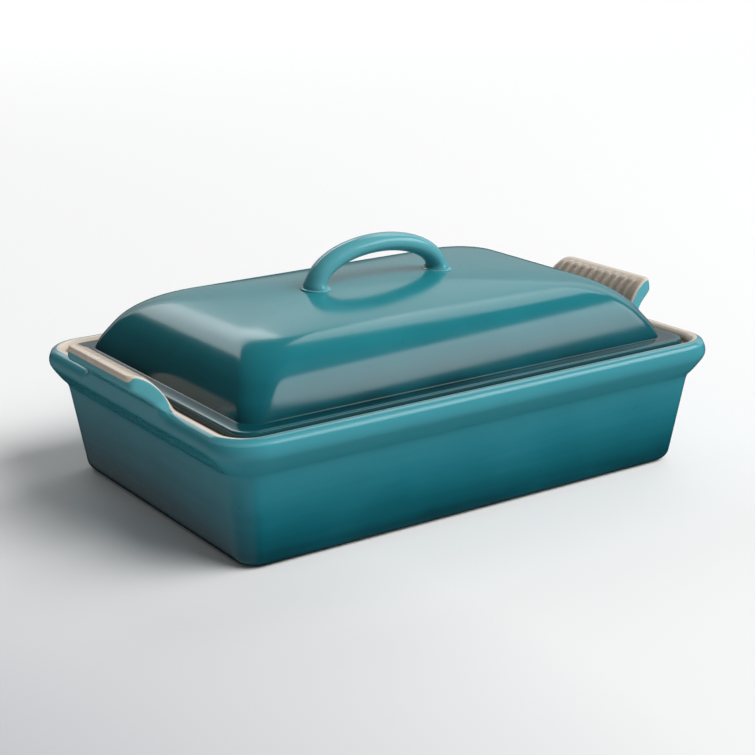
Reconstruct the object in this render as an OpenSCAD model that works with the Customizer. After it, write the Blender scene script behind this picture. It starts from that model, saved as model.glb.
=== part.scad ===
/* [Dish] */
// Length of the dish over its lip, without the grips
dish_length = 343; // [280:1:420]
// Width of the dish over its lip
dish_width = 241; // [200:1:290]
// Height of the rim's crest above the table
dish_height = 79; // [62:1:100]
// Corner radius of the lip, seen from above
lip_corner = 25; // [22:0.5:32]
// Radius of the rolled lip
lip_round = 5.2; // [4:0.1:5.6]
// Height of the upright face of the lip
lip_face = 2.8; // [1:0.1:5]
// How far the crease under the lip stands in from the lip
crease_inset = 10.8; // [8:0.1:12]
// Height of the crease below the crest
crease_drop = 23.8; // [19:0.1:29]
// How far the foot stands in from the lip
foot_inset = 18.6; // [14:0.1:24]
// Corner radius of the foot, seen from above
foot_corner = 12.3; // [9:0.1:16]
// Rounding of the foot's outer edge
foot_round = 7; // [3:0.1:9]
// Width of the foot ring's flat
foot_flat = 8.4; // [5:0.1:12]
// Depth of the recess inside the foot ring
foot_recess = 2; // [0.8:0.1:3]
// Thickness of the dish's wall at the floor
dish_wall = 8; // [6:0.1:10]
// Thickness of the dish's floor
floor_thick = 8; // [6:0.1:11]
// Fillet between the wall and the floor inside
floor_round = 12; // [6:0.5:16]
// Corner radius of the inside at the floor, seen from above
inside_corner = 14; // [13:0.5:20]

/* [Seat for the lid] */
// Depth of the seat below the rim's crest
seat_depth = 6.3; // [5:0.1:9]
// Width of the rim's top, from the lip to the seat's step
band_width = 10.3; // [8.5:0.1:12.5]
// Bearing width of the seat, from the step to the inside
seat_width = 9.2; // [7:0.1:12]
// Gap between the lid's edge and the seat's step
edge_gap = 3.7; // [1.5:0.1:4.5]
// Clearance under the lid's flange
seat_clearance = 0.3; // [0.2:0.05:0.5]
// Gap between the lid's skirt and the dish's inside
skirt_gap = 1.8; // [1:0.1:3]

/* [Grips] */
// Half the width of each grip, at half its height
grip_half_width = 41; // [32:0.5:41]
// Rise of the grips above the crest
grip_rise = 20.2; // [14:0.1:26]
// Reach of the grips beyond the lip
grip_reach = 15.5; // [11:0.1:20]
// Thickness of the grips at their outer edge
grip_thick = 8.4; // [6:0.1:11]
// Rounding of the grips' upper corners
grip_corner = 6; // [3:0.1:9]
// Length of the sweep that joins a grip's side to the rim
grip_sweep = 11; // [6:0.5:11]

/* [Lid] */
// Thickness of the lid's flange
flange_thick = 6; // [4.5:0.1:8]
// Width of the flange around the dome
flange_width = 9.2; // [8:0.1:12]
// Depth of the locating skirt below the flange
skirt_depth = 6; // [3:0.1:9]
// Wall thickness of the lid
lid_wall = 7; // [5.5:0.1:8.5]
// Slope of the dome's side, in degrees
dome_slope = 64; // [54:0.5:70]
// Height of the dome's straight side
dome_side = 14; // [9:0.1:17]
// Radius of the dome's shoulder
dome_round = 37.5; // [28:0.1:42]
// Slope at which the shoulder meets the crown, in degrees
crown_slope = 10; // [6:0.5:16]
// Rise of the pillowed crown
crown_rise = 5.6; // [3:0.1:10]

/* [Loop handle] */
// Distance between the middles of the loop's two feet
loop_span = 88; // [64:1:108]
// Height of the bar's middle above its feet at the top of the loop
loop_rise = 21.5; // [16:0.1:34]
// Thickness of the bar across the loop
bar_thick = 11.3; // [8:0.1:14]
// Width of the bar along the dish's width
bar_width = 15.4; // [10:0.1:20]
// Spread of the bar at its feet
foot_flare = 1.22; // [1:0.01:1.4]
// Ledge of the lid's two pads around the loop's feet
pad_ledge = 1.2; // [0.5:0.1:3]
// Least height of the pads above the crown
pad_rise = 0.6; // [0.3:0.1:2]

/* [Hidden] */

// Segments of each rounded corner, each arc in a wall, and a whole oval
corner_steps = 8;
arc_steps = 4;
oval_steps = 32;
teal = [0.07, 0.36, 0.42];
sand = [0.66, 0.56, 0.46];

half_length = dish_length / 2;
half_width = dish_width / 2;
crease_z = dish_height - crease_drop;
wall_lean = atan((foot_inset - crease_inset) / crease_z);
seat_z = dish_height - seat_depth;
step_foot = band_width + 0.5;
seat_inner = step_foot + seat_width - 0.5;

flange_inset = step_foot + edge_gap;
flange_low = seat_z + seat_clearance;
flange_top = flange_low + flange_thick;
skirt_inset = seat_inner + skirt_gap;
dome_inset = flange_inset + flange_width;
dome_corner = 12;
flange_corner = lip_corner - band_width - edge_gap - 0.5;
skirt_corner = inside_corner - 4 - skirt_gap;
side_run = dome_side / tan(dome_slope);
round_run = dome_round * (sin(dome_slope) - sin(crown_slope));
round_high = dome_round * (cos(crown_slope) - cos(dome_slope));
crown_inset = dome_inset + side_run + round_run;
crown_z = flange_top + dome_side + round_high;
crown_length = half_length - crown_inset;
pad_z = crown_z + crown_rise * (1 - pow(loop_span / 2 / crown_length, 2)) + pad_rise;

function mix(a, b, t) = a + (b - a) * t;
function smooth(t) = t * t * (3 - 2 * t);
function bezier(a, b, c, d, t) =
    pow(1 - t, 3) * a + 3 * t * pow(1 - t, 2) * b + 3 * t * t * (1 - t) * c + pow(t, 3) * d;

// Stations across a short side, from the middle of a grip out to where its sweep ends
sweep_angles = [0, 30, 60, 90];
function sweep_y(angle) = grip_half_width + 2.5 + grip_sweep * (1 - cos(angle));
side_stations = concat([for (k = [3:-1:0]) -sweep_y(sweep_angles[k])],
                       [for (k = [0:3]) sweep_y(sweep_angles[k])]);
// How fully the rim is shaped as a grip at each station, 1 within the grip and 0 past its sweep
function grip_share(y) =
    let (past = (abs(y) - sweep_y(0)) / grip_sweep)
    past <= 0 ? 1 : past >= 1 ? 0 : 1 - past;

// One ring seen from above: four rounded corners, with stations on the short sides
function corner_arc(a, b, r, sx, sy, from) =
    [for (k = [0:corner_steps])
        let (turn = from + 90 * k / corner_steps)
        [sx * (a - r) + r * cos(turn), sy * (b - r) + r * sin(turn)]];
function plain_ring(a, b, r, stations) = concat(
    corner_arc(a, b, r, 1, -1, -90), [for (y = stations) [a, y]],
    corner_arc(a, b, r, 1, 1, 0), corner_arc(a, b, r, -1, 1, 90),
    [for (k = [len(stations) - 1:-1:0]) [-a, stations[k]]], corner_arc(a, b, r, -1, -1, 180));

// Skin between rings of equal length, closed by a flat face at each end
function skin(rings, n) = [
    for (i = [0:len(rings) - 2]) for (j = [0:n - 1])
        let (a = i * n + j, b = i * n + (j + 1) % n)
        each [[a, a + n, b], [b, a + n, b + n]]];
module loft(rings) {
    n = len(rings[0]);
    last = (len(rings) - 1) * n;
    polyhedron(points = [for (r = rings) each r],
               faces = concat([[for (j = [0:n - 1]) j]], skin(rings, n),
                              [[for (j = [n - 1:-1:0]) last + j]]));
}

// ---- dish ----
// A ring of the dish is [inset, height, corner radius], and on the rim also
// the inset and height that the same ring has within a grip.
function rim_corner(inset) = max(lip_corner - inset, 5);
function dish_ring(p) =
    let (grips = len(p) > 3,
         plan = plain_ring(half_length - p[0], half_width - p[0], p[2], side_stations))
    [for (q = plan)
        let (on_end = abs(abs(q[0]) - half_length + p[0]) < 0.001,
             share = grips && on_end ? grip_share(q[1]) : 0,
             x = abs(q[0]) - (grips ? share * (p[3] - p[0]) : 0))
        [sign(q[0]) * x, q[1], grips ? mix(p[1], p[4], share) : p[1]]];

land_out = lip_round - 1.6;
land_in = lip_round + 0.6;
grip_out = -0.6;
grip_in = band_width - 1.3;

function foot_profile() =
    let (mid = foot_inset + foot_round * (1 - sin(wall_lean)) / cos(wall_lean),
         recess_in = mid + foot_flat)
    concat(
        [[recess_in + 1.6, foot_recess, 4], [recess_in + 0.5, foot_recess * 0.75, 4], [recess_in, 0, 4]],
        [for (k = [0:arc_steps])
            let (turn = (90 - wall_lean) * k / arc_steps)
            [mid - foot_round * sin(turn), foot_round * (1 - cos(turn)), foot_corner - 1.5 + 1.5 * k / arc_steps]]);

function lip_profile() =
    let (low = dish_height - lip_round - lip_face, face_r = lip_corner)
    [[crease_inset + 1.6 * tan(wall_lean), crease_z - 1.6, rim_corner(crease_inset)],
     [crease_inset - 0.5, crease_z + 1.1, rim_corner(crease_inset - 0.5)],
     [crease_inset - 2.1, crease_z + 2.5, rim_corner(crease_inset - 2.1)],
     [mix(0, crease_inset, 0.6), mix(low, crease_z, 0.68), rim_corner(crease_inset * 0.6)],
     [mix(0, crease_inset, 0.16), mix(low, crease_z, 0.25), rim_corner(crease_inset * 0.16)],
     [mix(0, crease_inset, 0.045), mix(low, crease_z, 0.13), face_r - 0.5],
     [0, low, face_r],
     [0, low + lip_face, face_r, 0, low + lip_face],
     [lip_round * 0.134, dish_height - lip_round * 0.5, face_r, grip_out * 0.5, dish_height - lip_round * 0.6],
     [lip_round * 0.4, dish_height - lip_round * 0.17, rim_corner(2), grip_out * 0.85, dish_height - 1.2],
     [land_out, dish_height, rim_corner(land_out), grip_out, dish_height]];

function seat_profile() =
    [[land_in, dish_height, rim_corner(land_in), grip_in, dish_height],
     [band_width - 2, dish_height - 0.6, rim_corner(band_width - 2), grip_in + 0.4, dish_height - 0.8],
     [band_width - 0.5, dish_height - 1.8, rim_corner(band_width - 0.5), band_width - 0.5, dish_height - 1.9],
     [band_width, dish_height - 3.2, rim_corner(band_width)],
     [step_foot - 0.2, seat_z + 1, rim_corner(band_width)],
     [step_foot + 0.8, seat_z, rim_corner(band_width) - 1],
     [seat_inner - 1, seat_z, inside_corner - 4],
     [seat_inner, seat_z - 1.2, inside_corner - 4]];

function inside_profile() =
    let (wall_foot = foot_inset + dish_wall - floor_thick * tan(wall_lean),
         lean = atan((wall_foot - seat_inner) / (seat_z - 1.2 - floor_thick)),
         mid = wall_foot + floor_round * (1 - sin(lean)) / cos(lean))
    [for (k = [0:arc_steps])
        let (turn = mix(90 - lean, 0, k / arc_steps), inset = mid - floor_round * sin(turn))
        [inset, floor_thick + floor_round * (1 - cos(turn)),
         max(inside_corner - (inset - wall_foot) * 0.8, 3)]];

module dish()
    color(teal)
    loft([for (p = concat(foot_profile(), lip_profile(), seat_profile(), inside_profile())) dish_ring(p)]);

// ---- grips ----
// A grip is a curled plate. Its section runs up the outer curve, round the edge and down the inner one.
function grip_section(reached, share, y) =
    let (top = [half_length + grip_reach - 3.6, dish_height + grip_rise],
         low = [half_length + grip_reach - 1.6, dish_height + grip_rise - grip_thick],
         root_in = [half_length - mix(land_in, grip_in, share), dish_height],
         root_out = [half_length - mix(land_out, grip_out, share), dish_height],
         inner = [for (k = [0:7]) bezier(root_in, root_in + [0.17, 0.4] * grip_rise,
                     top - [9.5, 0.2], top, reached * k / 7)],
         outer = [for (k = [0:7]) bezier(root_out, root_out + [0.9, 4],
                     low - [6, 4.8], low, reached * k / 7)],
         mid = (inner[7] + outer[7]) / 2,
         side = (inner[7] - outer[7]) / 2,
         ahead = [side[1], -side[0]] * 0.6,
         edge = [for (k = [1:5])
             let (c = cos(30 * k), s = sin(30 * k))
             mid - side * sign(c) * pow(abs(c), 0.8) + ahead * pow(s, 0.8)])
    [for (p = concat(outer, edge, [for (k = [7:-1:0]) inner[k]])) [p[0], y, p[1]]];

// Stations of a grip from its end inwards: place, how far up the curl it reaches, and share
grip_length = grip_rise * 1.45;
sweep_top = 10;
half_grip = concat(
    [for (turn = [90:-15:0])
        [sweep_y(turn), mix(sweep_top, 0.6, sin(turn)) / grip_length, grip_share(sweep_y(turn))]],
    [[grip_half_width + 1, mix(sweep_top, grip_length - grip_corner, 0.5) / grip_length, 1]],
    [for (turn = [0:18:90])
        [grip_half_width - grip_corner * (1 - cos(turn)),
         (grip_length - grip_corner * (1 - sin(turn))) / grip_length, 1]]);
grip_stations = concat([for (s = half_grip) [-s[0], s[1], s[2]]],
                       [[0, 1, 1]],
                       [for (k = [len(half_grip) - 1:-1:0]) half_grip[k]]);

module grip()
    color(sand)
    loft([for (s = grip_stations) grip_section(s[1], s[2], s[0])]);

module right_handle() grip();

module left_handle() rotate([0, 0, 180]) grip();

// ---- lid ----
// Stations along the sides let the crown's contours bend towards ovals.
side_shares = [-0.6, 0, 0.6];
function lid_plan(inset, corner) =
    let (a = half_length - inset, b = half_width - inset)
    concat(corner_arc(a, b, corner, 1, -1, -90), [for (s = side_shares) [a, s * (b - corner)]],
           corner_arc(a, b, corner, 1, 1, 0), [for (s = side_shares) [-s * (a - corner), b]],
           corner_arc(a, b, corner, -1, 1, 90), [for (s = side_shares) [-a, -s * (b - corner)]],
           corner_arc(a, b, corner, -1, -1, 180), [for (s = side_shares) [s * (a - corner), -b]]);
function lid_ring(inset, z, corner) = [for (q = lid_plan(inset, corner)) [q[0], q[1], z]];
function dome_plan_corner(inset) = dome_corner + 0.5 * (inset - dome_inset);

// The shoulder and side of the dome, at a depth below the outer skin
function dome_point(slope, depth) =
    let (run = dome_round * (sin(dome_slope) - sin(slope)), high = dome_round * (cos(slope) - cos(dome_slope)))
    [dome_inset + side_run + run + depth * sin(slope), flange_top + dome_side + high - depth * cos(slope)];
shoulder_slopes = [for (k = [0:6]) mix(dome_slope, crown_slope, k / 6)];
function shoulder_rings(depth) =
    [for (slope = shoulder_slopes)
        let (p = dome_point(slope, depth))
        lid_ring(p[0], p[1], dome_plan_corner(p[0]))];

// The crown: contours shrink and turn from rounded rectangles to ovals
crown_shares = [0.84, 0.68, 0.52, 0.36, 0.2, 0.08];
function crown_ring(share, depth) =
    let (edge = dome_point(crown_slope, depth),
         a = half_length - edge[0], b = half_width - edge[0])
    [for (q = lid_plan(edge[0], dome_plan_corner(edge[0])))
        let (turn = atan2(q[1] / b, q[0] / a),
             oval = [a * cos(turn), b * sin(turn)],
             p = share * mix(q, oval, min(1, 1.5 * (1 - share))))
        [p[0], p[1], edge[1] + crown_rise * (1 - share * share)]];
function reversed(list) = [for (k = [len(list) - 1:-1:0]) list[k]];

skirt_low = flange_low - skirt_depth;
skirt_inner = dome_inset + lid_wall / sin(dome_slope) - 1;
function flange_rings() = [
    lid_ring(skirt_inner, skirt_low + 1, skirt_corner - 2.2),
    lid_ring(skirt_inner - 1, skirt_low, skirt_corner - 1.7),
    lid_ring(skirt_inset + 1.5, skirt_low, skirt_corner - 0.7),
    lid_ring(skirt_inset, skirt_low + 1.5, skirt_corner),
    lid_ring(skirt_inset, flange_low - 0.6, skirt_corner),
    lid_ring(skirt_inset - 0.6, flange_low, skirt_corner),
    lid_ring(flange_inset + 1.5, flange_low, flange_corner - 1.5),
    lid_ring(flange_inset + 0.4, flange_low + 0.5, flange_corner - 0.4),
    lid_ring(flange_inset, flange_low + 1.6, flange_corner),
    lid_ring(flange_inset, flange_top - 2.4, flange_corner),
    lid_ring(flange_inset + 0.6, flange_top - 0.9, flange_corner - 0.5),
    lid_ring(flange_inset + 2, flange_top, flange_corner - 1),
    lid_ring(dome_inset - 1.6, flange_top, dome_corner + 0.8),
    lid_ring(dome_inset - 0.4, flange_top + 0.5, dome_corner + 0.2),
    lid_ring(dome_inset + 1.2 / tan(dome_slope), flange_top + 1.2, dome_corner)];

function oval(half_x, half_y) =
    [for (k = [0:oval_steps - 1]) [half_x * cos(360 * k / oval_steps), half_y * sin(360 * k / oval_steps)]];

module foot_pads()
    for (side = [-1, 1])
        translate([side * loop_span / 2, 0, pad_z - pad_rise - 3])
        linear_extrude(pad_rise + 3)
        polygon(oval(bar_thick / 2 * foot_flare + pad_ledge, bar_width / 2 * foot_flare + pad_ledge));

module lid()
    color(teal)
    union() {
        loft(concat([for (s = reversed(crown_shares)) crown_ring(s, lid_wall)],
                    reversed(shoulder_rings(lid_wall)), flange_rings(), shoulder_rings(0),
                    [for (s = crown_shares) crown_ring(s, 0)]));
        foot_pads();
    }

// ---- loop handle ----
bar_steps = 24;
function bar_ring(turn) =
    let (mid = [loop_span / 2 * cos(turn), loop_rise * sin(turn)],
         along = [-loop_span / 2 * sin(turn), loop_rise * cos(turn)],
         out = [along[1], -along[0]] / norm(along),
         flare = 1 + (foot_flare - 1) * exp(-pow(mid[1] / 4, 2)))
    [for (k = [0:15])
        let (c = cos(22.5 * k) * bar_thick / 2 * flare, s = sin(22.5 * k) * bar_width / 2 * flare)
        [mid[0] + out[0] * c, s, pad_z + mid[1] + out[1] * c]];

module lid_handle()
    color(teal)
    loft([for (k = [0:bar_steps]) bar_ring(180 * mix(k / bar_steps, smooth(k / bar_steps), 0.5))]);

dish();
left_handle();
right_handle();
lid();
lid_handle();
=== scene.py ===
"""Looks of a covered casserole dish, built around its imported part.

Sizes inside the classes are in millimetres. They become metres where a vertex
is placed. The dish and the lid are each a quarter sheet of stations by rows,
placed point by point, then mirrored into a closed shell.
"""

import logging
import math
from dataclasses import dataclass, field
from enum import Enum
from typing import Callable, Sequence

import bmesh
import bpy
from mathutils import Matrix, Vector


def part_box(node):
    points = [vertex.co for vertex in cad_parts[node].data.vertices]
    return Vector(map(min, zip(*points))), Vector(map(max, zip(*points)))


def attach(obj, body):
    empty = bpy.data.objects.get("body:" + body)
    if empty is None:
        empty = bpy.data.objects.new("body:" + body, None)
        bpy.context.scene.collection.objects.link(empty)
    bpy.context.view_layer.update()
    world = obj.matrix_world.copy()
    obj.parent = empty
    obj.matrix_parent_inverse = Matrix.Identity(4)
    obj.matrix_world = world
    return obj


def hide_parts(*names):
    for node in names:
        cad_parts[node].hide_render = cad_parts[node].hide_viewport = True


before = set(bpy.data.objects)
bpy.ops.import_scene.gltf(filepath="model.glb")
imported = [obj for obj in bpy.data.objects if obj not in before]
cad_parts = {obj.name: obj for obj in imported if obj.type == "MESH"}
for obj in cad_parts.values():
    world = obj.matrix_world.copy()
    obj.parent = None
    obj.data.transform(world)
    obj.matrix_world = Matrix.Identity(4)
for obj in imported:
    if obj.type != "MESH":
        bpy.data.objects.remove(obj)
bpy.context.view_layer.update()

MM = 0.001
MERGE_DISTANCE = 1e-6
TINY_AREA = 1e-10
CORNER_STEPS = 12
ROUND_STEPS = 5
SWEEP_STEPS = 6
SHOULDER_STEPS = 8
SLOPE_ROUNDS = 12
PAD_SIDES = 40
EDGE_ATTRIBUTE = "glaze_edge"
BEND_ATTRIBUTE = "surface_bend"

log = logging.getLogger("casserole")

Pair = tuple[float, float]
Triple = tuple[float, float, float]
Colour = tuple[float, float, float]
Column = list[Vector]
Socket = bpy.types.NodeSocket


# ---------------------------------------------------------------- small maths


def mix(a: float, b: float, share: float) -> float:
    """Blend of two numbers, a at share 0 and b at share 1."""
    return a + (b - a) * share


def mix_pair(a: Pair, b: Pair, share: float) -> Pair:
    """Blend of two pairs, a at share 0 and b at share 1."""
    return (mix(a[0], b[0], share), mix(a[1], b[1], share))


def ease(value: float, low: float = 0.0, high: float = 1.0) -> float:
    """Smooth step from 0 at low to 1 at high."""
    t = min(1.0, max(0.0, (value - low) / (high - low)))
    return t * t * (3.0 - 2.0 * t)


def bezier(points: Sequence[Pair], t: float) -> Pair:
    """Point on a cubic curve, carried straight on past its end.

    Args:
        points: The curve's four control points.
        t: Place along the curve; values above 1 leave it along its tangent.

    Returns:
        The point at t.
    """
    a, b, c, d = points
    if t > 1.0:
        beyond = 3.0 * (t - 1.0)
        return (d[0] + (d[0] - c[0]) * beyond, d[1] + (d[1] - c[1]) * beyond)
    s = 1.0 - t
    k = (s**3, 3.0 * t * s * s, 3.0 * t * t * s, t**3)
    return tuple(k[0] * a[i] + k[1] * b[i] + k[2] * c[i] + k[3] * d[i] for i in range(2))


# ---------------------------------------------------------------- plan outline


class Stretch(Enum):
    """The stretch of a quarter outline that a station lies on."""

    GRIP = "along a grip"
    SHORT = "short side"
    CORNER = "corner"
    LONG = "long side"


@dataclass(frozen=True)
class Station:
    """A place on a quarter outline.

    Attributes:
        stretch: The stretch that it lies on.
        at: Distance from the middle on a grip, else the share of the stretch.
    """

    stretch: Stretch
    at: float


@dataclass(frozen=True)
class Outline:
    """A rounded rectangle seen from above.

    Attributes:
        half_x: Half its length.
        half_y: Half its width.
        grip_end: Where the grip's stations end on the short side.
    """

    half_x: float
    half_y: float
    grip_end: float = 0.0

    def point(self, station: Station, inset: float, corner: float) -> Pair:
        """Place of a station on the outline drawn in by an inset.

        Args:
            station: The station.
            inset: Distance in from the full outline.
            corner: Corner radius of the inset outline.

        Returns:
            The place in plan.
        """
        a, b = self.half_x - inset, self.half_y - inset
        if station.stretch is Stretch.GRIP:
            return (a, station.at)
        if station.stretch is Stretch.SHORT:
            return (a, mix(self.grip_end, b - corner, station.at))
        if station.stretch is Stretch.LONG:
            return ((a - corner) * (1.0 - station.at), b)
        turn = math.radians(90.0 * station.at)
        return (a - corner + corner * math.cos(turn), b - corner + corner * math.sin(turn))


@dataclass(frozen=True)
class Ring:
    """One level of a shell: inset from the outline, height and corner radius.

    Attributes:
        inset: Distance in from the full outline.
        z: Height.
        corner: Corner radius in plan.
        scale: Share of its size that is kept, for rings drawn to a middle.
    """

    inset: float
    z: float
    corner: float
    scale: float = 1.0

    def towards(self, other: "Ring", share: float) -> "Ring":
        """Ring a share of the way to another ring."""
        return Ring(mix(self.inset, other.inset, share), mix(self.z, other.z, share),
                    mix(self.corner, other.corner, share))


def plain_stations(short: Sequence[float], long: Sequence[float]) -> list[Station]:
    """Stations along a short side, round a corner and along a long side.

    Args:
        short: Shares of the short side.
        long: Shares of the long side.

    Returns:
        The stations in order.
    """
    made = [Station(Stretch.SHORT, share) for share in short]
    made += [Station(Stretch.CORNER, k / CORNER_STEPS) for k in range(CORNER_STEPS + 1)]
    return made + [Station(Stretch.LONG, share) for share in long]


# ---------------------------------------------------------------- mesh building


def place_grid(bm: bmesh.types.BMesh, columns: Sequence[Column]) -> None:
    """Adds a grid and moves its vertices on to columns of points.

    Args:
        bm: The mesh to add to.
        columns: Points in millimetres, all columns with the same count.
    """
    across, along = len(columns), len(columns[0])
    bmesh.ops.create_grid(bm, x_segments=across - 1, y_segments=along - 1, size=1.0)
    bm.verts.ensure_lookup_table()
    for index, vert in enumerate(bm.verts):
        vert.co = columns[index % across][index // across] * MM


def row_lengths(column: Column, start: float) -> list[float]:
    """Signed lengths along a column, measured from a place between two rows.

    Args:
        column: The points of the column.
        start: Row number, with a fraction, from where lengths are counted.

    Returns:
        One length for each row, negative before the start.
    """
    lengths = [0.0]
    for below, above in zip(column, column[1:]):
        lengths.append(lengths[-1] + (above - below).length)
    whole = int(start)
    origin = mix(lengths[whole], lengths[min(whole + 1, len(lengths) - 1)], start - whole)
    return [length - origin for length in lengths]


def store_surface_bends(bm: bmesh.types.BMesh) -> None:
    """Stores each vertex's strongest bend per millimetre, above 0 on edges, below 0 in hollows; it drives
    the pale thin-glaze edges, and the sand glaze's painted shade in hollows and partly painted highlight on
    edges.

    Args:
        bm: The finished mesh.
    """
    bm.normal_update()
    layer = bm.verts.layers.float.new(BEND_ATTRIBUTE)
    for vert in bm.verts:
        bends = []
        for edge in vert.link_edges:
            other = edge.other_vert(vert)
            gap = vert.co - other.co
            turn = (vert.normal - other.normal).dot(gap)
            bends.append(turn / max(gap.length_squared, TINY_AREA))
        vert[layer] = max(bends, key=abs, default=0.0) * MM


def close_shell(bm: bmesh.types.BMesh) -> None:
    """Mirrors a quarter sheet in X and Y, merges its seams and turns it outwards.

    Args:
        bm: The quarter sheet.
    """
    for axis in ("X", "Y"):
        sheet = bm.verts[:] + bm.edges[:] + bm.faces[:]
        bmesh.ops.mirror(bm, geom=sheet, axis=axis, merge_dist=MERGE_DISTANCE)
    finish_shell(bm)


def finish_shell(bm: bmesh.types.BMesh) -> None:
    """Merges doubles, drops empty faces and turns the shell's faces outwards.

    Args:
        bm: The closed shell.
    """
    bmesh.ops.remove_doubles(bm, verts=bm.verts[:], dist=MERGE_DISTANCE)
    bmesh.ops.dissolve_degenerate(bm, edges=bm.edges[:], dist=MERGE_DISTANCE)
    bmesh.ops.recalc_face_normals(bm, faces=bm.faces[:])
    store_surface_bends(bm)


def mark_meeting(bm: bmesh.types.BMesh, columns: Sequence[Column],
                 lengths: Sequence[Sequence[float]]) -> None:
    """Stores on a placed grid how far each vertex lies from where the glazes meet.

    Args:
        bm: The mesh, with its grid just placed.
        columns: The points that the grid was placed by.
        lengths: For each column, a signed length for each row.
    """
    layer = bm.verts.layers.float.new(EDGE_ATTRIBUTE)
    bm.verts.ensure_lookup_table()
    for number, column_lengths in enumerate(lengths):
        for row, length in enumerate(column_lengths):
            bm.verts[row * len(columns) + number][layer] = length


def to_object(name: str, bm: bmesh.types.BMesh, material: bpy.types.Material,
              levels: int = 1) -> bpy.types.Object:
    """Turns a bmesh into a smooth object at the origin.

    Args:
        name: Name of the piece.
        bm: The finished mesh, which is freed.
        material: Its material.
        levels: Levels of the Subdivision Surface modifier, none at 0.

    Returns:
        The new object.
    """
    mesh = bpy.data.meshes.new(name)
    bm.to_mesh(mesh)
    bm.free()
    mesh.materials.append(material)
    mesh.polygons.foreach_set("use_smooth", [True] * len(mesh.polygons))
    piece = bpy.data.objects.new(name, mesh)
    bpy.context.scene.collection.objects.link(piece)
    if levels:
        smooth = piece.modifiers.new("smooth", "SUBSURF")
        smooth.levels = smooth.render_levels = levels
    return piece


# ---------------------------------------------------------------- node wiring


@dataclass
class Wiring:
    """Adds nodes to a tree and links them.

    Attributes:
        tree: The node tree that is filled.
    """

    tree: bpy.types.NodeTree

    def add(self, kind: str, inputs: dict | None = None, **settings: object) -> bpy.types.Node:
        """Adds a node.

        Args:
            kind: Blender's name for the node's type, without the prefix ShaderNode.
            inputs: Values or sockets for its inputs, by name or number.
            settings: Other properties of the node.

        Returns:
            The node.
        """
        node = self.tree.nodes.new("ShaderNode" + kind)
        for key, value in settings.items():
            setattr(node, key, value)
        for key, value in (inputs or {}).items():
            if isinstance(value, bpy.types.NodeSocket):
                self.tree.links.new(value, node.inputs[key])
            else:
                node.inputs[key].default_value = value
        return node

    def math(self, operation: str, a: object, b: object = 0.0, clamp: bool = False) -> Socket:
        """Adds a Math node and returns its output."""
        return self.add("Math", {0: a, 1: b}, operation=operation, use_clamp=clamp).outputs[0]

    def fit(self, value: object, low: object, high: object, to_low: object = 0.0,
            to_high: object = 1.0, smooth: bool = False) -> Socket:
        """Adds a clamped Map Range node.

        Args:
            value: What is fitted.
            low: Value that becomes to_low.
            high: Value that becomes to_high.
            to_low: Result at low.
            to_high: Result at high.
            smooth: True for a smooth step in place of a straight one.

        Returns:
            The fitted value.
        """
        kind = "SMOOTHSTEP" if smooth else "LINEAR"
        inputs = {"Value": value, "From Min": low, "From Max": high, "To Min": to_low,
                  "To Max": to_high}
        return self.add("MapRange", inputs, interpolation_type=kind).outputs["Result"]

    def blend(self, share: object, a: object, b: object) -> Socket:
        """Adds a colour Mix node.

        Args:
            share: Share of the second colour.
            a: The first colour, a socket or three numbers.
            b: The second colour, a socket or three numbers.

        Returns:
            The mixed colour.
        """
        colours = [side if isinstance(side, Socket) else (*side, 1.0) for side in (a, b)]
        return self.add("Mix", {0: share, 6: colours[0], 7: colours[1]}, data_type="RGBA").outputs[2]

    def noise(self, place: Socket, scale: float, detail: float, roughness: float = 0.5) -> Socket:
        """Adds a Noise Texture.

        Args:
            place: Where it is read.
            scale: Its scale.
            detail: How many finer layers it has.
            roughness: How strong the finer layers are.

        Returns:
            Its grey output.
        """
        inputs = {"Vector": place, "Scale": scale, "Detail": detail, "Roughness": roughness}
        return self.add("TexNoise", inputs).outputs[0]

    def centred(self, place: Socket, scale: float, detail: float, roughness: float = 0.5) -> Socket:
        """Adds a Noise Texture, as noise does, that varies around 0."""
        return self.math("SUBTRACT", self.noise(place, scale, detail, roughness), 0.5)

    def place(self) -> Socket:
        """Adds a Texture Coordinate node and returns its Object output."""
        return self.add("TexCoord").outputs["Object"]

    def height(self, place: Socket) -> Socket:
        """Adds a Separate XYZ node and returns the height of a place."""
        return self.add("SeparateXYZ", {0: place}).outputs["Z"]

    def stored(self, attribute: str) -> Socket:
        """Adds an Attribute node and returns a number stored on the mesh."""
        return self.add("Attribute", attribute_name=attribute).outputs["Fac"]

    def group(self, tree: bpy.types.NodeTree, values: dict[str, object]) -> bpy.types.Node:
        """Places a node group with its own values."""
        return self.add("Group", values, node_tree=tree)

    def ramp(self, share: Socket, stops: Sequence[tuple[float, Colour]]) -> Socket:
        """Adds a smooth colour ramp.

        Args:
            share: Where to read the ramp.
            stops: Places from 0 to 1, each with its colour.

        Returns:
            The ramp's colour output.
        """
        node = self.add("ValToRGB", {"Fac": share})
        band = node.color_ramp
        band.interpolation = "B_SPLINE"
        while len(band.elements) < len(stops):
            band.elements.new(0.5)
        for number, (place, colour) in enumerate(stops):
            band.elements[number].position = place
            band.elements[number].color = (*colour, 1.0)
        return node.outputs["Color"]


Fill = Callable[[Wiring, bpy.types.Node], dict[str, Socket]]

STREAK_SCALE = (9.0, 9.0, 150.0)
CLOUD_SCALE = 26.0
SPECK_EDGE, SPECK_HEART = 0.32, 0.12
SWELL_SCALE = 38.0
PEEL_SCALE = 430.0
BREAK_SCALE = 120.0
BREAK_SOFT = 0.18
LINE_HEART = 0.08


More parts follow.
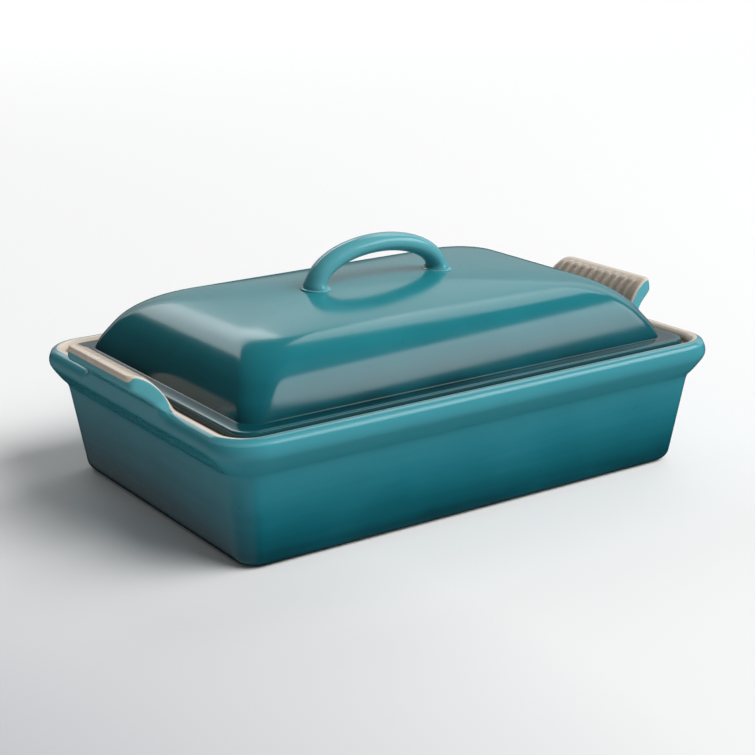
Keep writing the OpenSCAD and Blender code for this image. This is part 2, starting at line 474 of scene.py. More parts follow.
def node_group(name: str, inputs: dict[str, float], outputs: Sequence[str],
               fill: Fill) -> bpy.types.NodeTree:
    """Builds a shader node group with number sockets.

    Args:
        name: Name of the group.
        inputs: Input names with their usual values.
        outputs: Output names.
        fill: Wires the inside, and returns the socket behind each output.

    Returns:
        The group.
    """
    tree = bpy.data.node_groups.new(name, "ShaderNodeTree")
    for key, value in inputs.items():
        socket = tree.interface.new_socket(name=key, in_out="INPUT", socket_type="NodeSocketFloat")
        socket.default_value = value
    for key in outputs:
        tree.interface.new_socket(name=key, in_out="OUTPUT", socket_type="NodeSocketFloat")
    entry = tree.nodes.new("NodeGroupInput")
    leave = tree.nodes.new("NodeGroupOutput")
    for key, socket in fill(Wiring(tree), entry).items():
        tree.links.new(socket, leave.inputs[key])
    return tree


def height_fade(wiring: Wiring, entry: bpy.types.Node) -> dict[str, Socket]:
    """Wires a share that climbs with height, wavering in long level streaks.

    Args:
        wiring: The group's tree.
        entry: The group's input node.

    Returns:
        The socket behind each output.
    """
    place = wiring.place()
    share = wiring.fit(wiring.height(place), entry.outputs["Low"], entry.outputs["High"])
    level = wiring.add("Mapping", {"Vector": place, "Scale": STREAK_SCALE}).outputs[0]
    streak = wiring.centred(level, 1.0, 4.0, 0.55)
    cloud = wiring.centred(place, CLOUD_SCALE, 2.0)
    waver = wiring.math("MULTIPLY", wiring.math("ADD", streak, cloud), entry.outputs["Waver"])
    return {"Share": wiring.math("ADD", share, waver, clamp=True)}


def speckle(wiring: Wiring, entry: bpy.types.Node) -> dict[str, Socket]:
    """Wires small soft specks, as iron spots and pinholes make in a glaze.

    Args:
        wiring: The group's tree.
        entry: The group's input node.

    Returns:
        The socket behind each output.
    """
    inputs = {"Vector": wiring.place(), "Scale": entry.outputs["Scale"], "Randomness": 1.0}
    cells = wiring.add("TexVoronoi", inputs)
    chosen = wiring.add("SeparateColor", {0: cells.outputs["Color"]}).outputs[0]
    kept = wiring.math("LESS_THAN", chosen, entry.outputs["Share"])
    spot = wiring.fit(cells.outputs["Distance"], SPECK_EDGE, SPECK_HEART, smooth=True)
    return {"Mask": wiring.math("MULTIPLY", spot, kept)}


def orange_peel(wiring: Wiring, entry: bpy.types.Node) -> dict[str, Socket]:
    """Wires the height of a fired glaze's skin: slow swells and a finer peel.

    Args:
        wiring: The group's tree.
        entry: The group's input node.

    Returns:
        The socket behind each output.
    """
    place = wiring.place()
    swell = wiring.math("MULTIPLY", wiring.noise(place, SWELL_SCALE, 1.0), entry.outputs["Swell"])
    peel = wiring.math("MULTIPLY", wiring.noise(place, PEEL_SCALE, 2.0), entry.outputs["Peel"])
    return {"Height": wiring.math("ADD", swell, peel)}


def glaze_break(wiring: Wiring, entry: bpy.types.Node) -> dict[str, Socket]:
    """Wires the line where two glazes meet, from the distance to it in millimetres.

    Args:
        wiring: The group's tree.
        entry: The group's input node.

    Returns:
        The socket behind each output.
    """
    uneven = wiring.centred(wiring.place(), BREAK_SCALE, 3.0)
    away = wiring.math("ADD", entry.outputs["Distance"],
                       wiring.math("MULTIPLY", uneven, entry.outputs["Waver"]))
    inner = wiring.fit(away, -BREAK_SOFT, BREAK_SOFT, smooth=True)
    line = wiring.fit(wiring.math("ABSOLUTE", away), entry.outputs["Line"], LINE_HEART, smooth=True)
    return {"Inner": inner, "Line": line}


@dataclass
class GlazeShelf:
    """The node groups that every glaze shares.

    Attributes:
        fade: Colour that changes with height.
        specks: Iron spots and pinholes.
        skin: Height of the fired surface.
        meeting: Line between two glazes.
    """

    fade: bpy.types.NodeTree = field(init=False)
    specks: bpy.types.NodeTree = field(init=False)
    skin: bpy.types.NodeTree = field(init=False)
    meeting: bpy.types.NodeTree = field(init=False)

    def __post_init__(self) -> None:
        """Builds the four groups."""
        fade = {"Low": 0.0, "High": 0.1, "Waver": 0.1}
        meeting = {"Distance": 0.0, "Waver": 0.5, "Line": 0.5}
        self.fade = node_group("height_fade", fade, ["Share"], height_fade)
        self.specks = node_group("speckle", {"Scale": 300.0, "Share": 0.2}, ["Mask"], speckle)
        self.skin = node_group("orange_peel", {"Swell": 1.0, "Peel": 0.1}, ["Height"], orange_peel)
        self.meeting = node_group("glaze_break", meeting, ["Inner", "Line"], glaze_break)


# ---------------------------------------------------------------- finishes


@dataclass(frozen=True)
class TealGlaze:
    """Glossy outer glaze, darker low down and pale where it runs thin; the darkening low down is partly the
    glaze's own fade and partly painted shade.

    Attributes:
        low: Height in metres of the darkest colour.
        high: Height in metres of the palest colour.
        stops: Ramp from dark to pale, partly the glaze's own colour and partly painted light and shade.
        thin: Colour on sharp edges, where the glaze runs thin.
        thin_bend: Bends per millimetre at which that colour begins and is full.
        thin_share: Share of that colour where it is full.
        waver: How much the change with height wavers.
        pit_scale: Scale of the faint pinholes.
        pit_share: Share of the cells that have one.
        pit_depth: Share of the darkest colour in a pinhole.
        roughness: Roughness of the fired surface.
    """

    low: float
    high: float
    stops: tuple[tuple[float, Colour], ...]
    thin: Colour = (0.13, 0.42, 0.47)
    thin_bend: Pair = (0.10, 0.34)
    thin_share: float = 0.55
    waver: float = 0.16
    pit_scale: float = 230.0
    pit_share: float = 0.05
    pit_depth: float = 0.14
    roughness: float = 0.15


@dataclass(frozen=True)
class SandGlaze:
    """Satin inner glaze, tan with iron specks and cream on its edges; the cream on edges is partly painted
    highlight.

    Attributes:
        body: Main colour.
        cloud: Darker colour in slow clouds, also used for the painted shade in hollows.
        cream: Colour on edges, partly painted highlight, and along the line where it meets the outer glaze.
        spot: Colour of the specks.
        cloud_scale: Scale of the clouds.
        cloud_share: Share of the darker colour in a cloud's heart.
        hollow_shade_bend: Bends per millimetre at which the painted shade in hollows begins and is full.
        hollow_shade_share: Share of the darker colour in a hollow, as painted shade.
        edge_bend: Bends per millimetre at which edges begin to pale and are pale, partly as painted
            highlight.
        edge_share: Share of cream on an edge, partly painted highlight.
        spot_scale: Scale of the specks.
        spot_chance: Share of the cells that have one.
        spot_share: Share of the speck's colour in it.
        roughness: Roughness of the fired surface.
    """

    body: Colour = (0.46, 0.38, 0.30)
    cloud: Colour = (0.36, 0.285, 0.215)
    cream: Colour = (0.68, 0.58, 0.48)
    spot: Colour = (0.16, 0.10, 0.065)
    cloud_scale: float = 70.0
    cloud_share: float = 0.5
    hollow_shade_bend: Pair = (-0.02, -0.10)
    hollow_shade_share: float = 0.75
    edge_bend: Pair = (0.05, 0.19)
    edge_share: float = 0.9
    spot_scale: float = 420.0
    spot_chance: float = 0.16
    spot_share: float = 0.6
    roughness: float = 0.26


@dataclass(frozen=True)
class Bisque:
    """Bare fired clay under the foot.

    Attributes:
        body: Colour of the clay.
        height: Height in metres below which the foot begins to be bare.
        full_share: Share of that height at which it is quite bare.
        roughness: Roughness of the clay.
    """

    body: Colour = (0.55, 0.43, 0.31)
    height: float = 0.0006
    full_share: float = 0.6
    roughness: float = 0.85


# Darker towards the foot: partly the glaze's own fade, partly painted shade where less light falls low
# down.
DISH_TEAL = TealGlaze(
    low=0.0,
    high=0.079,
    stops=(
        (0.0, (0.004, 0.030, 0.040)),
        (0.12, (0.002, 0.060, 0.078)),
        (0.36, (0.006, 0.135, 0.172)),
        (0.64, (0.026, 0.205, 0.252)),
        (1.0, (0.050, 0.270, 0.318)),
    ),
)
# The lowest stops, near black on the flange, are painted shade for the gap between the flange and the rim;
# higher up the ramp is partly the glaze's own fade and partly painted shade on the lid's lower side.
LID_TEAL = TealGlaze(
    low=0.072,
    high=0.121,
    stops=(
        (0.0, (0.001, 0.012, 0.014)),
        (0.10, (0.002, 0.022, 0.026)),
        (0.2, (0.003, 0.070, 0.090)),
        (0.5, (0.008, 0.120, 0.148)),
        (0.8, (0.014, 0.190, 0.222)),
        (1.0, (0.020, 0.255, 0.290)),
    ),
    thin=(0.008, 0.10, 0.125),
)
# Set pale as painted light, to lift the legs that lie in the loop's own shade; paler towards the top.
LOOP_TEAL = TealGlaze(
    low=0.112,
    high=0.148,
    stops=(
        (0.0, (0.055, 0.285, 0.335)),
        (0.4, (0.080, 0.325, 0.375)),
        (1.0, (0.095, 0.340, 0.385)),
    ),
)


@dataclass
class Stoneware:
    """Makes the glazed materials of one piece.

    Attributes:
        shelf: Shared node groups.
        teal: The outer glaze.
        sand: The inner glaze.
        foot: Bare clay, where the piece stands on a foot.
        smear_scale: Scale of the slow change in roughness.
        smear: The least and the most that it adds.
        break_waver: How far the line between the glazes wavers, in millimetres.
        break_line: Half the width of the cream line there, in millimetres.
        swell: Height of the skin's slow swells, for the bump.
        peel: Height of the finer peel.
        bump: Strength of the bump.
        bump_height: Its height in metres.
        ior: Index of refraction of the glaze.
    """

    shelf: GlazeShelf
    teal: TealGlaze
    sand: SandGlaze | None = None
    foot: Bisque | None = None
    smear_scale: float = 30.0
    smear: Pair = (-0.015, 0.02)
    break_waver: float = 0.35
    break_line: float = 0.50
    swell: float = 0.30
    peel: float = 0.012
    bump: float = 0.10
    bump_height: float = 0.0006
    ior: float = 1.52

    def teal_colour(self, wiring: Wiring) -> Socket:
        """Wires the outer glaze's colour.

        Args:
            wiring: The material's tree.

        Returns:
            The colour socket.
        """
        teal = self.teal
        fade = wiring.group(self.shelf.fade, {"Low": teal.low, "High": teal.high, "Waver": teal.waver})
        # The height ramp is partly the glaze's own fade and partly painted shade low down.
        colour = wiring.ramp(fade.outputs[0], teal.stops)
        bend = wiring.stored(BEND_ATTRIBUTE)
        edge = wiring.fit(bend, *teal.thin_bend, 0.0, teal.thin_share, smooth=True)
        colour = wiring.blend(edge, colour, teal.thin)
        pits = wiring.group(self.shelf.specks, {"Scale": teal.pit_scale, "Share": teal.pit_share})
        faint = wiring.math("MULTIPLY", pits.outputs[0], teal.pit_depth)
        darkest = teal.stops[0][1]
        return wiring.blend(faint, colour, darkest)

    def sand_colour(self, wiring: Wiring, line: Socket) -> Socket:
        """Wires the inner glaze's colour.

        Args:
            wiring: The material's tree.
            line: Mask of the line where it meets the outer glaze.

        Returns:
            The colour socket.
        """
        sand = self.sand
        bend = wiring.stored(BEND_ATTRIBUTE)
        drift = wiring.noise(wiring.place(), sand.cloud_scale, 4.0)
        cloud = wiring.fit(drift, 0.35, 0.75, 0.0, sand.cloud_share, smooth=True)
        colour = wiring.blend(cloud, sand.body, sand.cloud)
        # Painted shade: hollows, flutes and creases are darkened towards the cloud colour.
        hollow = wiring.fit(bend, *sand.hollow_shade_bend, 0.0, sand.hollow_shade_share, smooth=True)
        colour = wiring.blend(hollow, colour, sand.cloud)
        spots = wiring.group(self.shelf.specks, {"Scale": sand.spot_scale, "Share": sand.spot_chance})
        colour = wiring.blend(wiring.math("MULTIPLY", spots.outputs[0], sand.spot_share), colour, sand.spot)
        # Edges and rib tops paled towards cream: partly the glaze breaking thin, partly painted highlight.
        edge = wiring.fit(bend, *sand.edge_bend, 0.0, sand.edge_share, smooth=True)
        return wiring.blend(wiring.math("MAXIMUM", edge, line), colour, sand.cream)

    def material(self, name: str) -> bpy.types.Material:
        """Makes the material.

        Args:
            name: Name of the material.

        Returns:
            The material.
        """
        made = bpy.data.materials.new(name)
        made.use_nodes = True
        wiring = Wiring(made.node_tree)
        made.node_tree.nodes.clear()
        colour = self.teal_colour(wiring)
        place = wiring.place()
        smear = wiring.fit(wiring.noise(place, self.smear_scale, 4.0), 0.3, 0.7, *self.smear)
        rough = wiring.math("ADD", smear, self.teal.roughness)
        if self.sand is not None:
            values = {"Distance": wiring.stored(EDGE_ATTRIBUTE), "Waver": self.break_waver,
                      "Line": self.break_line}
            meet = wiring.group(self.shelf.meeting, values)
            sand = self.sand_colour(wiring, meet.outputs["Line"])
            colour = wiring.blend(meet.outputs["Inner"], colour, sand)
            satin = wiring.math("ADD", smear, self.sand.roughness)
            rough = wiring.fit(meet.outputs["Inner"], 0.0, 1.0, rough, satin)
        if self.foot is not None:
            full, gone = self.foot.height * self.foot.full_share, self.foot.height
            bare = wiring.fit(wiring.height(place), gone, full, smooth=True)
            colour = wiring.blend(bare, colour, self.foot.body)
            rough = wiring.fit(bare, 0.0, 1.0, rough, self.foot.roughness)
        skin = wiring.group(self.shelf.skin, {"Swell": self.swell, "Peel": self.peel})
        bump = wiring.add("Bump", {"Height": skin.outputs[0], "Strength": self.bump,
                                   "Distance": self.bump_height})
        shader = wiring.add("BsdfPrincipled", {"Base Color": colour, "Roughness": rough,
                                               "Normal": bump.outputs[0], "IOR": self.ior})
        output = wiring.add("OutputMaterial", {"Surface": shader.outputs[0]})
        output.is_active_output = True
        return made


# ---------------------------------------------------------------- grips


class PlateFace(Enum):
    """The faces of a grip's plate, in the order that its rows cross them."""

    OUTER = "outer face, from the rim up"
    OUTER_ROUND = "rounding of the outer edge"
    INNER_ROUND = "rounding of the inner edge"
    INNER = "inner face, down to the rim"


PLATE_ROWS = {
    PlateFace.OUTER: (0.0, 0.1, 0.25, 0.45, 0.65, 0.83, 1.0),
    PlateFace.OUTER_ROUND: (24.0, 46.0, 68.0, 90.0),
    PlateFace.INNER_ROUND: (90.0, 68.0, 46.0, 24.0),
    PlateFace.INNER: (1.0, 0.90, 0.80, 0.74, 0.68, 0.52, 0.36, 0.2, 0.09, 0.0),
}


@dataclass(frozen=True)
class PlateRow:
    """One row across a grip's plate.

    Attributes:
        face: The face it lies on.
        at: Share of the height on a face, degrees on a rounding.
    """

    face: PlateFace
    at: float


@dataclass
class GripPlate:
    """A curled plate that rises out of the rim's end.

    A point on it has three coordinates: y along the rim, how far it reaches up
    the curl, and its depth through the plate, from 0 outside to 1 inside.

    Attributes:
        lip_x: X of the lip's end.
        rim_z: Height of the rim's crest.
        rise: Rise of the inner face's edge above the crest.
        inner_out: How far that edge stands out past the lip.
        outer_out: How far the outer face's edge stands out past the lip.
        outer_drop: How far the outer face's edge lies below the inner one's.
        inner_root: Inset of the inner face's foot, on the plain rim and in the grip.
        outer_root: The same of the outer face's foot.
        curl_length: Length of the curl up to where its edge begins to round.
        reach: Length of the curl with its edge.
        half_width: Half the width at the upper corners.
        corner: Radius of the upper corners.
        side_spread: How much wider the plate is at the foot of its sides.
        sweep_high: Height at which the side turns out into the rim.
        sweep_long: Length of that sweep along the rim.
        outer_round: Rounding of the outer edge.
        inner_round: Rounding of the inner edge along the outer end.
        side_round: Rounding of the inner edge down the sides.
        round_grows: Length of the curl over which the roundings grow to full size.
        rib_pitch: Distance from one rib to the next.
        rib_half: Half the width of a rib.
        rib_high: Height of the ribs.
        flute_deep: Depth of the flutes between them.
        band: Width of the plain band along the outer edge.
        side_root: How far past half_width the sides reach where they meet the rim.
        steps_a_rib: Stations from one rib to the next.
        ribs_a_half: Ribs on each half of the plate.
    """

    lip_x: float
    rim_z: float
    rise: float = 20.2
    inner_out: float = 11.9
    outer_out: float = 13.9
    outer_drop: float = 8.4
    inner_root: Pair = (5.8, 9.0)
    outer_root: Pair = (3.6, -0.6)
    curl_length: float = 29.3
    reach: float = 31.8
    half_width: float = 41.0
    corner: float = 6.0
    side_spread: float = 2.5
    sweep_high: float = 10.0
    sweep_long: float = 11.0
    outer_round: float = 2.2
    inner_round: float = 1.3
    side_round: float = 1.8
    round_grows: float = 9.0
    rib_pitch: float = 7.6
    rib_half: float = 1.3
    rib_high: float = 0.95
    flute_deep: float = 0.55
    band: float = 9.5
    side_root: float = 0.9
    steps_a_rib: int = 6
    ribs_a_half: int = 5

    def rows(self) -> list[PlateRow]:
        """Rows across the plate, up the outer face, over the edge and down."""
        return [PlateRow(face, at) for face, places in PLATE_ROWS.items() for at in places]

    def edge_line(self) -> list[Triple]:
        """The plate's outline from the middle of its top to the end of its sweep.

        Returns:
            For each station y, the reach there, and y where the station meets the rim.
        """
        step = self.rib_pitch / self.steps_a_rib
        count = round((self.ribs_a_half - 0.5) * self.steps_a_rib) + 1
        line = [(k * step, self.reach, k * step) for k in range(count)]
        turn_y = self.half_width - self.corner
        turn_g = self.reach - self.corner
        for k in range(ROUND_STEPS + 1):
            turn = math.radians(90.0 * k / ROUND_STEPS)
            y = turn_y + self.corner * math.sin(turn) + 0.15 * (1 - k / ROUND_STEPS)
            line.append((y, turn_g + self.corner * math.cos(turn), turn_y + 0.35 + 0.75 * k))
        corner_root = turn_y + 3.35
        side_root = self.half_width + self.side_root
        for share in (0.33, 0.67):
            line.append((self.half_width + self.side_spread * share,
                         mix(turn_g, self.sweep_high, share), mix(corner_root, side_root, share)))
        for k in range(SWEEP_STEPS + 1):
            turn = math.radians(90.0 * k / SWEEP_STEPS)
            y = self.sweep_start() + self.sweep_long * (1.0 - math.cos(turn))
            root = mix(side_root, self.sweep_end(), (k / SWEEP_STEPS) ** 1.35)
            line.append((y, self.sweep_high * (1.0 - math.sin(turn)), root))
        return line

    def sweep_start(self) -> float:
        """Y where the sweep leaves the plate's side."""
        return self.half_width + self.side_spread

    def sweep_end(self) -> float:
        """Y where the sweep has run out into the rim."""
        return self.sweep_start() + self.sweep_long

    def share(self, root: float) -> float:
        """How fully the rim is shaped as a grip at a place along it."""
        return 1.0 - ease(root, self.half_width + self.side_root, self.sweep_end())

    def curve(self, share: float, inner: bool, t: float) -> Pair:
        """Point on the plate's inner or outer curve.

        Args:
            share: How fully the rim is a grip there.
            inner: True on the inner curve.
            t: Place along the curl.

        Returns:
            X and z.
        """
        top = (self.lip_x + self.inner_out, self.rim_z + self.rise)
        low = (self.lip_x + self.outer_out, self.rim_z + self.rise - self.outer_drop)
        if inner:
            x, z = self.lip_x - mix(*self.inner_root, share), self.rim_z
            leaves = (x + 0.17 * self.rise, z + 0.4 * self.rise)
            return bezier(((x, z), leaves, (top[0] - 9.5, top[1] - 0.2), top), t)
        x, z = self.lip_x - mix(*self.outer_root, share), self.rim_z
        return bezier(((x, z), (x + 0.9, z + 4.0), (low[0] - 6.0, low[1] - 4.8), low), t)

    def ribbing(self, y: float, g: float) -> float:
        """Height of the ribs and flutes on the inner face.

        Args:
            y: Place along the rim.
            g: Place along the curl.

        Returns:
            The height in millimetres, below 0 in a flute.
        """
        near = abs((y / self.rib_pitch) % 1.0 - 0.5) * self.rib_pitch
        half = self.rib_pitch / 2
        rib = self.rib_high * max(0.0, 1.0 - near / self.rib_half)
        flute = self.flute_deep * (1.0 - ((half - min(near, half)) / half) ** 2)
        last = (self.ribs_a_half - 0.5) * self.rib_pitch
        across = 1.0 - ease(y, last + 0.2, last + 1.6)
        plain = self.reach - self.band
        up = ease(g, 0.5, 4.0) * (1.0 - ease(g, plain - 1.6, plain))
        return (rib - flute) * across * up

    def point(self, row: PlateRow, spot: Triple, normal: Pair, share: float) -> Vector:
        """Place of a row at a station of the plate.

        Args:
            row: The row.
            spot: The station, from edge_line.
            normal: Outward direction of the outline there.
            share: How fully the rim is a grip there.

        Returns:
            The point in millimetres.
        """
        y, g, root = spot
        room = ease(g, 0.0, self.round_grows)
        on_outer = row.face in (PlateFace.OUTER, PlateFace.OUTER_ROUND)
        inner_round = mix(self.inner_round, self.side_round, ease(normal[0], 0.2, 0.95))
        radius = (self.outer_round if on_outer else inner_round) * room
        on_face = row.face in (PlateFace.OUTER, PlateFace.INNER)
        angle = 0.0 if on_face else math.radians(row.at)
        inset = radius * (1.0 - math.sin(angle))
        y, g = y - normal[0] * inset, g - normal[1] * inset
        if on_face:
            y, g = mix(root, y, row.at), g * row.at
        t = max(0.0, g) / self.curl_length
        outside = self.curve(share, False, t)
        inside = self.curve(share, True, t)
        thick = math.dist(outside, inside)
        depth = radius * (1.0 - math.cos(angle)) / max(thick, 1.0)
        if row.face is PlateFace.INNER:
            depth -= self.ribbing(y, g) / max(thick, 1.0)
        depth = min(depth, 0.49)
        x, z = mix_pair(outside, inside, depth if on_outer else 1.0 - depth)
        return Vector((x, y, z))


# ---------------------------------------------------------------- dish

# Inset and drop below the crest, from the crease up to the roll.
LIP_FACE = ((10.3, 22.7), (8.7, 21.3), (6.4, 18.7), (4.0, 15.5), (1.9, 12.6), (0.75, 10.8), (0.15, 9.1))
# Turn in degrees on the roll, and the inset and drop there within a grip.
LIP_ROLL = ((0.0, -0.1, 5.3), (17.0, -0.3, 3.5), (33.0, -0.45, 1.7))
# Inset and drop below the crest, from the rim's inner edge down to the seat.
SEAT_WALL = ((9.5, 1.45), (10.15, 2.8), (10.4, 4.2), (10.62, 5.4), (11.1, 6.05), (12.0, 6.3))
# Inset and corner radius across the seat.
SEAT_FLAT = ((14.0, 13.0), (16.5, 11.5), (18.4, 10.4))
# Inset and height above the crest of the curve over the plain rim.
CREST = ((1.6, -2.2), (2.9, -0.3), (6.4, 0.75), (8.3, -0.6))


@dataclass
class Dish:
    """The deep dish with its two grips, pressed as one piece of clay.

    Attributes:
        half_length: Half the length over the lip.
        half_width: Half the width over the lip.
        height: Height of the rim's crest.
        lip_corner: Corner radius of the lip in plan.
        lip_round: Depth in plan of the rolled lip's rounding.
        lip_drop: Height of that rounding.
        foot_inset: How far the foot stands in from the lip.
        foot_round: Rounding of the foot's outer edge.
        foot_flat: Width of the foot ring's flat.
        recess: Depth of the recess inside the foot ring.
        crease_inset: How far the crease under the lip stands in.
        crease_z: Height of that crease.
        seat_z: Height of the lid's seat.
        floor_z: Height of the floor inside.
        floor_round: Fillet between the wall and the floor.
        wall_foot: Inset of the inner wall at the floor.
        seat_corner: Inset whose corner radius the seat's wall keeps.
        break_on_rim: Share of the crest at which the glazes meet on the long sides.
        break_on_end: The same on the short sides.
        break_on_grip: Rows up a grip's side and over its end at which they meet.
        plate: The grip's plate.
        outline: The plan over the lip.
    """

    half_length: float
    half_width: float
    height: float
    lip_corner: float = 25.0
    lip_round: float = 5.2
    lip_drop: float = 7.3
    foot_inset: float = 18.6
    foot_round: float = 7.0
    foot_flat: float = 8.4
    recess: float = 2.0
    crease_inset: float = 10.8
    crease_z: float = 55.2
    seat_z: float = 72.7
    floor_z: float = 8.0
    floor_round: float = 12.0
    wall_foot: float = 25.5
    seat_corner: float = 10.3
    break_on_rim: float = 0.74
    break_on_end: float = 0.50
    break_on_grip: Pair = (10.45, 12.6)
    plate: GripPlate = field(init=False)
    outline: Outline = field(init=False)

    def __post_init__(self) -> None:
        """Sets the grip's plate and the plan."""
        self.plate = GripPlate(lip_x=self.half_length, rim_z=self.height)
        self.outline = Outline(self.half_length, self.half_width, self.plate.sweep_end())

    def rim_corner(self, inset: float) -> float:
        """Corner radius of the rim at an inset."""
        return max(self.lip_corner - inset, 5.0)

    def outside(self) -> list[Ring]:
        """Rings from the middle of the underside up to the lip's face.

        Returns:
            The rings in order.
        """
        lean = math.atan((self.foot_inset - self.crease_inset) / self.crease_z)
        mid = self.foot_inset + self.foot_round * (1.0 - math.sin(lean)) / math.cos(lean)
        edge = mid + self.foot_flat
        rings = [Ring(edge + 1.6, self.recess, 4.0, share) for share in (0.0, 0.3, 0.6, 0.85, 1.0)]
        rings += [
            Ring(edge + 0.8, self.recess * 0.72, 4.0),
            Ring(edge + 0.2, self.recess * 0.2, 4.4),
            Ring(edge - 0.6, 0.0, 5.0),
            Ring(mid + self.foot_flat * 0.4, 0.0, 8.0),
        ]
        for k in range(ROUND_STEPS + 1):
            turn = (math.pi / 2 - lean) * k / ROUND_STEPS
            inset = mid - self.foot_round * math.sin(turn)
            z = self.foot_round * (1.0 - math.cos(turn))
            rings.append(Ring(inset, z, mix(10.8, 12.3, k / ROUND_STEPS)))
        low = rings[-1]
        top = Ring(self.crease_inset + 0.23, self.crease_z - 1.6, self.rim_corner(self.crease_inset))
        rings += [low.towards(top, share) for share in (0.12, 0.3, 0.5, 0.7, 0.88, 1.0)]
        rings += [self.rim_ring(inset, drop, inset) for inset, drop in LIP_FACE]
        return rings

    def rim_ring(self, inset: float, drop: float, corner_inset: float) -> Ring:
        """Ring below the crest, with the rim's corner at an inset."""
        return Ring(inset, self.height - drop, self.rim_corner(corner_inset))

    def roll(self) -> list[tuple[Ring, Pair]]:
        """Rings of the lip's roll below the crest.

        Returns:
            Each ring, with its inset and drop within a grip.
        """
        made = []
        for turn, inset, drop in LIP_ROLL:
            bend = math.radians(turn)
            at = self.lip_round * (1.0 - math.cos(bend))
            z = self.height - self.lip_drop * (1.0 - math.sin(bend))
            made.append((Ring(at, z, self.lip_corner), (inset, drop)))
        return made

    def inside(self) -> list[Ring]:
        """Rings from the rim's inner edge down to the middle of the floor.

        Returns:
            The rings in order.
        """
        rings = [self.rim_ring(inset, drop, self.seat_corner) for inset, drop in SEAT_WALL]
        rings += [Ring(inset, self.seat_z, corner) for inset, corner in SEAT_FLAT]
        brink = Ring(19.55, self.seat_z - 1.2, 10.0)
        rings += [Ring(19.2, self.seat_z - 0.35, 10.0), brink]
        lean = math.atan((self.wall_foot - 19.5) / (brink.z - self.floor_z))
        mid = self.wall_foot + self.floor_round * (1.0 - math.sin(lean)) / math.cos(lean)
        fillet = []
        for k in range(ROUND_STEPS + 1):
            bend = (math.pi / 2 - lean) * (1.0 - k / ROUND_STEPS)
            inset = mid - self.floor_round * math.sin(bend)
            z = self.floor_z + self.floor_round * (1.0 - math.cos(bend))
            fillet.append(Ring(inset, z, max(14.0 - (inset - self.wall_foot) * 0.8, 3.0)))
        foot = Ring(fillet[0].inset, fillet[0].z, 14.0)
        rings += [brink.towards(foot, share) for share in (0.12, 0.36, 0.64, 0.88)] + fillet
        last = rings[-1]
        rings += [Ring(last.inset, last.z, last.corner, share) for share in (0.9, 0.6, 0.3, 0.0)]
        return rings

    def stations(self) -> list[Station]:
        """Stations of a quarter, from the middle of a grip to the middle of a long side."""
        grip = [Station(Stretch.GRIP, spot[2]) for spot in self.plate.edge_line()]
        return grip + plain_stations((0.12, 0.34, 0.67), (0.05, 0.16, 0.32, 0.5, 0.68, 0.85, 1.0))

    def outward(self, line: Sequence[Triple], at: int) -> Pair:
        """Outward direction of the plate's outline at a station.

        Args:
            line: The plate's outline, from edge_line.
            at: Number of the station.

        Returns:
            The direction along the rim and up the curl.
        """
        before, after = line[max(at - 1, 0)], line[min(at + 1, len(line) - 1)]
        run, rise = after[0] - before[0], after[1] - before[1]
        size = math.hypot(run, rise)
        return (-rise / size, run / size) if at else (0.0, 1.0)

    def crest(self, station: Station, share: float) -> Vector:
        """Point on the plain rim's crest.

        Args:
            station: The station.
            share: 0 on the outer flank and 1 on the inner one.

        Returns:
            The point in millimetres.
        """
        inset, rise = bezier(CREST, share)
        x, y = self.outline.point(station, inset, self.rim_corner(inset))
        return Vector((x, y, self.height + rise))

    def column(self, number: int, station: Station, line: Sequence[Triple]) -> Column:
        """All points of one station, from the underside over the rim to the floor.

        Args:
            number: Number of the station.
            station: The station.
            line: The plate's outline, from edge_line.

        Returns:
            The points in order.
        """
        in_grip = number < len(line)
        share = self.plate.share(station.at) if in_grip else 0.0
        points = [self.ring_point(station, ring) for ring in self.outside()]
        for ring, (inset, drop) in self.roll():
            plain = self.ring_point(station, ring)
            shaped = Vector((self.half_length - inset, plain.y, self.height - drop))
            points.append(plain.lerp(shaped, share))
        rows = self.plate.rows()
        normal = self.outward(line, number) if in_grip else (0.0, 1.0)
        for at, row in enumerate(rows):
            plain = self.crest(station, at / (len(rows) - 1))
            if share > 0.0:
                plain = plain.lerp(self.plate.point(row, line[number], normal, share), share)
            points.append(plain)
        for at, ring in enumerate(self.inside()):
            plain = self.ring_point(station, ring)
            if at == 0:
                root = Vector((self.half_length - 9.6, plain.y, self.height - 0.9))
                plain = plain.lerp(root, share)
            points.append(plain)
        return points

    def ring_point(self, station: Station, ring: Ring) -> Vector:
        """Point of a plain ring at a station."""
        x, y = self.outline.point(station, ring.inset, ring.corner)
        return Vector((x * ring.scale, y * ring.scale, ring.z))

    def break_row(self, station: Station, normal: Pair, share: float) -> float:
        """Row number at which the glazes meet, with a fraction.

        Args:
            station: The station.
            normal: Outward direction of the plate's outline there.
            share: How fully the rim is a grip there.

        Returns:
            The row number.
        """
        first = len(self.outside()) + len(self.roll())
        rows = len(self.plate.rows()) - 1
        round_end = {Stretch.CORNER: ease(station.at), Stretch.LONG: 1.0}.get(station.stretch, 0.0)
        on_rim = mix(self.break_on_end, self.break_on_rim, round_end) * rows
        return first + mix(on_rim, mix(*self.break_on_grip, ease(normal[0], 0.5, 1.0)), share)

    def build(self, material: bpy.types.Material) -> bpy.types.Object:
        """Builds the dish with its grips.

        Args:
            material: Its glaze.

        Returns:
            The piece.
        """
        line = self.plate.edge_line()
        columns, lengths = [], []
        for number, station in enumerate(self.stations()):
            in_grip = number < len(line)
            share = self.plate.share(station.at) if in_grip else 0.0
            normal = self.outward(line, number) if in_grip else (0.0, 1.0)
            columns.append(self.column(number, station, line))
            lengths.append(row_lengths(columns[-1], self.break_row(station, normal, share)))
        bm = bmesh.new()
        place_grid(bm, columns)
        mark_meeting(bm, columns, lengths)
        close_shell(bm)
        return to_object("dish_body", bm, material)


# ---------------------------------------------------------------- lid

# Places of the crown's points, from the shoulder's end at 1 to the middle.
CROWN_SHARES = (0.94, 0.87, 0.79, 0.7, 0.6, 0.5, 0.4, 0.3, 0.2, 0.1, 0.0)


